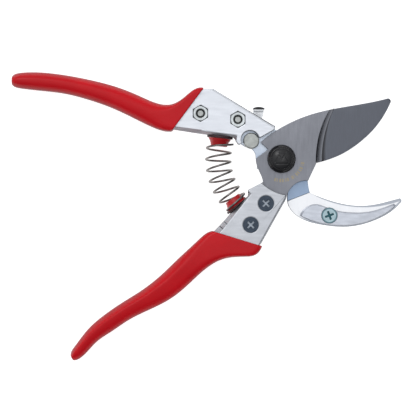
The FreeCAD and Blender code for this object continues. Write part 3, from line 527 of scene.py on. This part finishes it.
def handle(node, body, kept_sharp):
    """The forged handle: the frame's solid, its edges rounded outside the sleeve and the latch."""
    piece = bpy.data.objects.new(node + "_forging", nodes[node].data.copy())
    bpy.context.scene.collection.objects.link(piece)
    piece.data.materials.clear()
    piece.data.materials.append(LOOKS["aluminium"])
    clean(piece, True)
    apply_modifiers(piece)
    shape = bmesh.new()
    shape.from_mesh(piece.data)
    weight = shape.edges.layers.float.new("bevel_weight_edge")
    for edge in shape.edges:
        bare = all(not kept_sharp(*(v.co / MM)) for v in edge.verts)
        edge[weight] = 1.0 if bare and edge.calc_face_angle(0.0) > EDGE_ANGLE else 0.0
    shape.to_mesh(piece.data)
    shape.free()
    round_edges(piece, HANDLE_EDGE, "WEIGHT", False)
    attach(piece, body)
    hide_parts(node)


def in_upper_sleeve(x, y, z):
    return x < -50.0


def in_lower_sleeve_or_latch(x, y, z):
    return y < -46.0 or (z < LATCH_TOP and math.hypot(x, y) < LATCH_REACH)


handle("upper_handle", UPPER, in_upper_sleeve)
handle("lower_handle", LOWER, in_lower_sleeve_or_latch)


# ---- grips -----------------------------------------------------------------------------------------
GRIP_VOXEL = 0.42 * MM
# Across each grip, from the mouth to the tip: a point on its upper side and one on its lower side, mm.
UPPER_SPANS = [
    ((-38.6, 35.6), (-54.8, 13.8)), ((-44.0, 34.6), (-56.4, 13.7)), ((-49.0, 30.6), (-58.4, 13.9)),
    ((-54.5, 27.5), (-61.5, 14.7)), ((-61.5, 27.7), (-67.0, 17.0)), ((-70.0, 31.1), (-75.5, 21.2)),
    ((-82.0, 35.9), (-86.0, 26.0)), ((-95.0, 39.4), (-97.0, 29.8)), ((-108.0, 41.9), (-109.0, 32.8)),
    ((-120.0, 43.3), (-120.5, 34.2)), ((-130.0, 43.2), (-130.2, 35.3)), ((-135.2, 41.6), (-135.2, 36.8)),
]
LOWER_SPANS = [
    ((-34.7, -35.9), (-9.6, -43.6)), ((-37.2, -36.9), (-18.0, -48.9)), ((-40.5, -39.5), (-28.0, -49.8)),
    ((-45.3, -44.0), (-36.8, -54.2)), ((-52.0, -50.2), (-45.0, -61.4)), ((-60.0, -57.9), (-54.0, -69.0)),
    ((-70.0, -65.8), (-65.0, -75.0)), ((-80.0, -72.1), (-76.0, -80.4)), ((-90.0, -79.1), (-85.0, -86.4)),
    ((-97.0, -85.4), (-92.5, -91.6)), ((-103.2, -93.4), (-99.6, -98.9)), ((-105.8, -98.0), (-103.6, -101.2)),
]
CROWN = 0.30            # how much lower the grip is at its sides than along its crest
CROWN_STARTS = (2.6, 4.6)       # spans over which the crown grows, clear of the metal in the mouth
CROWN_LEAST = 0.12              # share of the crown that is already there at the mouth
GRIP_MID = (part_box("upper_grip")[0].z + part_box("upper_grip")[1].z) / 2


def crown(mesh, spans, crest, power):
    """Rounds the sleeve's flat faces: full height along the crest, lower towards both sides."""
    samples = np.linspace(0, len(spans) - 1, 40 * (len(spans) - 1) + 1)
    knots = np.arange(len(spans))
    ends = np.array(spans) * MM
    first, last = [np.stack([np.interp(samples, knots, ends[:, side, axis]) for axis in (0, 1)], 1)
                   for side in (0, 1)]
    across = last - first
    span2 = (across ** 2).sum(1)
    points = np.empty(len(mesh.vertices) * 3, np.float64)
    mesh.vertices.foreach_get("co", points)
    points = points.reshape(-1, 3)
    for start in range(0, len(points), 4000):
        part = points[start:start + 4000]
        way = part[:, None, :2] - first[None]
        share = (way * across[None]).sum(2) / span2[None]
        off = way - np.clip(share, 0, 1)[..., None] * across[None]
        best = (off ** 2).sum(2).argmin(1)
        row = np.arange(len(part))
        t, place = share[row, best], samples[best]
        reach = np.where(t < crest, (crest - t) / crest, (t - crest) / (1 - crest))
        grow = np.clip((place - CROWN_STARTS[0]) / (CROWN_STARTS[1] - CROWN_STARTS[0]), 0, 1)
        grow = CROWN_LEAST + (1 - CROWN_LEAST) * grow * grow * (3 - 2 * grow)
        fall = CROWN * grow * np.clip(reach, 0, 1.02) ** power
        part[:, 2] = GRIP_MID + (part[:, 2] - GRIP_MID) * (1 - fall)
    mesh.vertices.foreach_set("co", points.ravel())
    mesh.update()


def grip(node, body, spans, crest, power):
    """The vinyl sleeve: the frame's solid, remeshed, relaxed and crowned like a dipped coat."""
    source = nodes[node]
    piece = bpy.data.objects.new(node + "_vinyl", source.data.copy())
    bpy.context.scene.collection.objects.link(piece)
    piece.data.materials.clear()
    piece.data.materials.append(LOOKS["red"])
    remesh = piece.modifiers.new("remesh", "REMESH")
    remesh.mode = "VOXEL"
    remesh.voxel_size = GRIP_VOXEL
    remesh.use_smooth_shade = True
    relax = piece.modifiers.new("relax", "SMOOTH")
    relax.factor, relax.iterations = 0.5, 10
    apply_modifiers(piece)
    crown(piece.data, spans, crest, power)
    for face in piece.data.polygons:
        face.use_smooth = True
    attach(piece, body)
    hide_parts(node)
    return piece


grip("upper_grip", UPPER, UPPER_SPANS, 0.47, 2.0)
grip("lower_grip", LOWER, LOWER_SPANS, 0.33, 1.3)


# ---- spring ----------------------------------------------------------------------------------------
SPRING_ARC_R = 31.6 * MM
SPRING_SPAN = (math.radians(165.2), math.radians(225.3))
SPRING_TURNS = 6.45
COIL_R = 6.2 * MM
WIRE_R = 0.52 * MM
LEAN = (math.radians(1.9), math.radians(-2.0))
MID_Z = (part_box("return_spring")[0].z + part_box("return_spring")[1].z) / 2
WIRE_STEPS, WIRE_SIDES = 48, 12


def coil_place(share):
    """A point of the coil's wire, share 0 at the upper seat and 1 at the lower one."""
    phase = 2 * math.pi * SPRING_TURNS * share
    lean = LEAN[0] + (LEAN[1] - LEAN[0]) * share
    angle = SPRING_SPAN[0] + (SPRING_SPAN[1] - SPRING_SPAN[0]) * share - lean * math.cos(phase)
    r = SPRING_ARC_R - COIL_R * math.cos(phase)
    return Vector((r * math.cos(angle), r * math.sin(angle), MID_Z + COIL_R * math.sin(phase)))


def return_spring():
    count = int(WIRE_STEPS * SPRING_TURNS)
    points, faces, shares = [], [], []
    for k in range(count + 1):
        share = k / count
        here = coil_place(share)
        ahead = (coil_place(share + 1e-4) - coil_place(share - 1e-4)).normalized()
        side = ahead.cross(Vector((0, 0, 1)))
        side = side.normalized() if side.length > 1e-3 else Vector((1, 0, 0))
        up = side.cross(ahead).normalized()
        for s in range(WIRE_SIDES):
            a = 2 * math.pi * s / WIRE_SIDES
            points.append(here + (side * math.cos(a) + up * math.sin(a)) * WIRE_R)
            shares.append(math.atan2(here.y, here.x) % (2 * math.pi))
    for k in range(count):
        for s in range(WIRE_SIDES):
            n = (s + 1) % WIRE_SIDES
            a, b = k * WIRE_SIDES, (k + 1) * WIRE_SIDES
            faces.append((a + s, b + s, b + n, a + n))
    faces.append(tuple(range(WIRE_SIDES)))
    faces.append(tuple(count * WIRE_SIDES + s for s in range(WIRE_SIDES))[::-1])
    piece = make_piece("coil_spring", points, faces, "wire")
    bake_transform(piece)
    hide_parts("return_spring")


return_spring()


# ---- moulded pieces --------------------------------------------------------------------------------
def placed(points, at, turn):
    """Points drawn along +Z, laid on a handle's edge at (x, y) and pointing along turn degrees, in mm."""
    a = math.radians(turn)
    out, side = Vector((math.cos(a), math.sin(a), 0)), Vector((-math.sin(a), math.cos(a), 0))
    base = Vector((at[0], at[1], MID_Z / MM))
    return [(base + out * p.z + side * p.y + Vector((0, 0, 1)) * -p.x) * MM for p in points]


def arc_points(centre, radius, start, end, steps):
    """Profile points on an arc, degrees from the +r direction towards +z."""
    found = []
    for k in range(steps + 1):
        a = math.radians(start + (end - start) * k / steps)
        found.append((centre[0] + radius * math.cos(a), centre[1] + radius * math.sin(a)))
    return found


SEAT_STEPS = 96
SEAT_RING = 6.48        # rim radius, inside the frame's 6.6
UPPER_SEAT = ((-30.704, 11.571), 263.864)
LOWER_SEAT = ((-21.532, -23.842), 127.0)
LOWER_EDGE = ((-25.6, -27.35), (-16.7, -18.45))
FOOT_GAP = 0.03 * MM            # the lower seat's foot stays this far off the handle's edge
DARK_RIM = 1.25 * MM            # height of the rim's dark part


def seat_profile(foot):
    """Rim with a rounded edge, hollow-sided cone, rounded lip and a shallow hollow in the end."""
    profile = [(0.02, foot), (5.1, foot)]
    if foot < 0:
        profile += [(5.1, -0.05)]
    profile += [(SEAT_RING - 0.35, 0.0)]
    profile += arc_points((SEAT_RING - 0.30, 0.30), 0.30, -80, 0, 4)
    profile += arc_points((SEAT_RING - 0.35, 0.85), 0.35, 0, 90, 5)
    profile += arc_points((6.0, 1.75), 0.52, -100, -178, 6)
    for k in range(1, 12):
        f = k / 12
        profile.append((5.46 - 1.30 * f - 0.22 * math.sin(math.pi * f), 1.80 + 2.95 * f))
    profile += arc_points((3.75, 4.80), 0.38, 0, 100, 6)
    profile += [(3.2, 5.12), (2.9, 4.9), (2.75, 4.55), (2.7, 4.3), (1.5, 4.25), (0.02, 4.25)]
    return profile


def seat(node, body, place, foot):
    points, faces = lathe(seat_profile(foot), SEAT_STEPS)
    points = placed(points, *place)
    if foot < 0:
        (ax, ay), (bx, by) = LOWER_EDGE
        along = Vector((bx - ax, by - ay, 0)).normalized()
        out = Vector((-along.y, along.x, 0))
        for p in points:
            depth = (p - Vector((ax, ay, 0)) * MM).dot(out)
            if depth < FOOT_GAP:
                p += out * (FOOT_GAP - depth)
    piece = make_piece(node + "_moulding", points, faces, "seat")
    piece.data.materials.append(LOOKS["seat_rim"])
    (x, y), turn = place
    way = Vector((math.cos(math.radians(turn)), math.sin(math.radians(turn)), 0))
    for face in piece.data.polygons:
        height = (face.center - Vector((x, y, 0)) * MM).dot(way)
        if height < DARK_RIM:
            face.material_index = 1
    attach(piece, body)
    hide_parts(node)


seat("upper_spring_seat", UPPER, UPPER_SEAT, 0.0)
seat("lower_spring_seat", LOWER, LOWER_SEAT, -4.0)

CAP_R, CAP_RIM, CAP_DOME = 7.08, 1.3, 3.9
CAP_STEPS, CAP_RINGS = 168, 60
RELIEF = 0.16           # depth of the pattern pressed into the cap, mm
# Its strokes, start and end, mm: two peaks between a line below and a line above.
RELIEF_STROKES = [(-3.2, -1.6, -1.3, 1.5), (-1.3, 1.5, 0.1, -0.4), (0.1, -0.4, 1.5, 1.9),
                  (1.5, 1.9, 3.4, -1.5), (-2.6, -2.5, 2.8, -2.5), (-1.0, 3.1, 1.9, 3.1)]
RELIEF_RING_R = 5.35


def cap_height(x, y):
    """The dome's height over the shoulder, with a ring and a plain two-peaked pattern sunk into it."""
    r = math.hypot(x, y)
    bend = max(0.0, 1 - (r / CAP_R) ** 2.25)
    high = (CAP_DOME - 0.02) * bend ** 0.62 - 0.05

    def stroke(ax, ay, bx, by, half=0.30):
        dx, dy = bx - ax, by - ay
        t = max(0.0, min(1.0, ((x - ax) * dx + (y - ay) * dy) / (dx * dx + dy * dy)))
        d = math.hypot(x - ax - t * dx, y - ay - t * dy)
        return max(0.0, min(1.0, (half + 0.14 - d) / 0.22))

    mark = max(stroke(*line) for line in RELIEF_STROKES)
    ring = max(0.0, min(1.0, (0.30 - abs(r - RELIEF_RING_R)) / 0.18))
    return high - RELIEF * max(mark, 0.8 * ring)


def cap():
    """The nut cap: a straight rim with a small lead, a shoulder line and the dome."""
    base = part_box("pivot_cap")[0].z / MM
    shoulder = base + CAP_RIM
    points, faces = [], []
    rings = [(CAP_R - 0.75, base + 0.9), (CAP_R - 0.75, base), (CAP_R - 0.22, base), (CAP_R, base + 0.22),
             (CAP_R, shoulder - 0.28), (CAP_R - 0.12, shoulder - 0.16), (CAP_R - 0.14, shoulder - 0.02)]
    rings += [((CAP_R - 0.14) * (1 - k / CAP_RINGS) ** 0.72, None) for k in range(1, CAP_RINGS)]
    for r, z in rings:
        for k in range(CAP_STEPS):
            a = 2 * math.pi * k / CAP_STEPS
            x, y = r * math.cos(a), r * math.sin(a)
            points.append(Vector((x, y, shoulder + cap_height(x, y) if z is None else z)) * MM)
    for ring in range(len(rings) - 1):
        for k in range(CAP_STEPS):
            n = (k + 1) % CAP_STEPS
            a, b = ring * CAP_STEPS, (ring + 1) * CAP_STEPS
            faces.append((a + k, a + n, b + n, b + k))
    faces.append(tuple((len(rings) - 1) * CAP_STEPS + k for k in range(CAP_STEPS)))
    piece = make_piece("cap_dome", points, faces, "cap")
    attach(piece, CAP_BODY)
    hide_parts("pivot_cap")


CAP_BODY = next(name for name, empty in frame["bodies"].items() if nodes["pivot_cap"].parent == empty)
cap()

PAD_ARC = [(-14.2, 24.95), (-14.2, 25.35), (-13.6, 25.72), (-12.7, 26.02), (-11.4, 26.17), (-10.1, 26.02),
           (-9.1, 25.75), (-8.4, 25.35), (-8.4, 24.95)]


PAD_FLOOR, PAD_MID_X = 24.92, -11.3
PAD_LEVELS = 90
PAD_GROOVES, PAD_GROOVE_DEPTH = 6, 0.16


def thumb_pad():
    """The arched rubber pad with shallow grip grooves across its top and rounded ends."""
    low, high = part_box("lock_thumb_pad")
    z0, z1 = low.z / MM, high.z / MM
    arc = []
    for (ax, ay), (bx, by) in zip(PAD_ARC, PAD_ARC[1:]):
        for k in range(4):
            arc.append((ax + (bx - ax) * k / 4, ay + (by - ay) * k / 4))
    arc.append(PAD_ARC[-1])
    under = [(x, PAD_FLOOR) for x in np.linspace(-8.45, -14.15, 12)]
    outline = arc + under
    points, faces = [], []
    for j in range(PAD_LEVELS + 1):
        f = j / PAD_LEVELS
        z = z0 + (z1 - z0) * f
        end = min(f, 1 - f) * (z1 - z0)
        shrink = 0.0 if end > 0.5 else 0.5 - math.sqrt(max(0.0, 0.25 - (0.5 - end) ** 2))
        groove = 0.5 - 0.5 * math.cos(2 * math.pi * f * PAD_GROOVES)
        for x, y in outline:
            rise = max(0.0, y - 25.0)
            dip = PAD_GROOVE_DEPTH * groove * min(1.0, rise / 0.5) if 0.6 < end else 0.0
            reach = 1 - shrink * 0.9 / 2.9
            height = PAD_FLOOR + (y - PAD_FLOOR) * (1 - shrink * 0.5) - dip
            points.append(Vector((PAD_MID_X + (x - PAD_MID_X) * reach, height, z)) * MM)
    count = len(outline)
    for j in range(PAD_LEVELS):
        for k in range(count):
            n = (k + 1) % count
            a, b = j * count, (j + 1) * count
            faces.append((a + n, a + k, b + k, b + n))
    faces.append(tuple(range(count)))
    faces.append(tuple(PAD_LEVELS * count + k for k in range(count))[::-1])
    piece = make_piece("thumb_pad_rubber", points, faces, "pad")
    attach(piece, LOCK)
    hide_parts("lock_thumb_pad")


thumb_pad()


# ---- floor, light and camera ----------------------------------------------------------------------------
def stage():
    """A plain white floor under the part."""
    half = 1.6
    corners = [(-half, -half, 0), (half, -half, 0), (half, half, 0), (-half, half, 0)]
    mesh = bpy.data.meshes.new("floor")
    mesh.from_pydata(corners, [], [(0, 1, 2, 3)])
    floor = bpy.data.objects.new("floor", mesh)
    bpy.context.scene.collection.objects.link(floor)
    floor.location.z = cad_box[0].z - 0.0002
    look = Look("floor_white", (0.60, 0.60, 0.60), 0.0, 0.9)
    look.shader.inputs["Emission Color"].default_value = (1.0, 1.0, 1.0, 1.0)
    look.shader.inputs["Emission Strength"].default_value = 0.86
    floor.data.materials.append(look.material)


def softbox(name, place, aim, size, radiance):
    """A rectangular lamp of the given radiance, so its size doesn't change how bright it looks."""
    light = bpy.data.lights.new(name, "AREA")
    light.shape = "RECTANGLE"
    light.size, light.size_y = size
    light.energy = radiance * math.pi * size[0] * size[1]
    lamp = bpy.data.objects.new(name, light)
    lamp.location = place
    lamp.rotation_mode = "QUATERNION"
    lamp.rotation_quaternion = (Vector(aim) - Vector(place)).to_track_quat("-Z", "Y")
    bpy.context.scene.collection.objects.link(lamp)


def studio():
    """A tent that is bright overhead and dark at the horizon, with a key softbox at the upper left."""
    world = bpy.data.worlds.new("studio")
    world.use_nodes = True
    tree = world.node_tree
    back = tree.nodes["Background"]
    way = tree.nodes.new("ShaderNodeTexCoord")
    parts = tree.nodes.new("ShaderNodeSeparateXYZ")
    ramp = tree.nodes.new("ShaderNodeValToRGB")
    tree.links.new(way.outputs["Generated"], parts.inputs["Vector"])
    tree.links.new(parts.outputs["Z"], ramp.inputs["Fac"])
    lit = tree.nodes.new("ShaderNodeVectorMath")
    lit.operation = "DOT_PRODUCT"
    lit.inputs[1].default_value = (-0.30, 0.62, 0.0)
    tree.links.new(way.outputs["Generated"], lit.inputs[0])
    level = tree.nodes.new("ShaderNodeMath")
    level.operation = "ADD"
    level.inputs[1].default_value = 1.0
    tree.links.new(lit.outputs["Value"], level.inputs[0])
    tree.links.new(level.outputs[0], back.inputs["Strength"])
    tree.links.new(ramp.outputs["Color"], back.inputs["Color"])
    steps = ((0.0, 0.16), (0.30, 0.24), (0.62, 0.62), (0.90, 0.84), (1.0, 0.88))
    while len(ramp.color_ramp.elements) < len(steps):
        ramp.color_ramp.elements.new(0.5)
    for element, (place, value) in zip(ramp.color_ramp.elements, steps):
        element.position = place
        element.color = (value * 0.985, value * 0.995, value * 1.02, 1.0)
    bpy.context.scene.world = world
    softbox("key", (-0.55, 0.75, 1.10), (-0.04, -0.02, 0.0), (0.45, 0.45), 3.6)
    softbox("overhead", (0.12, 0.05, 1.50), (-0.02, -0.02, 0.0), (0.55, 0.40), 0.8)
    bpy.context.scene.view_settings.view_transform = "Standard"


VIEW_CENTRE = (-0.03675, -0.02455)
VIEW_WIDTH = 0.208
VIEW_HEIGHT = 1.2
FACE_Z = 0.0107


def camera():
    """Straight down, at the photo's viewing angle."""
    data = bpy.data.cameras.new("camera")
    data.sensor_width = 36.0
    data.lens = data.sensor_width * VIEW_HEIGHT / VIEW_WIDTH
    data.clip_start = 0.01
    eye = bpy.data.objects.new("camera", data)
    eye.location = (*VIEW_CENTRE, FACE_Z + VIEW_HEIGHT)
    bpy.context.scene.collection.objects.link(eye)
    bpy.context.scene.camera = eye


stage()
studio()
camera()
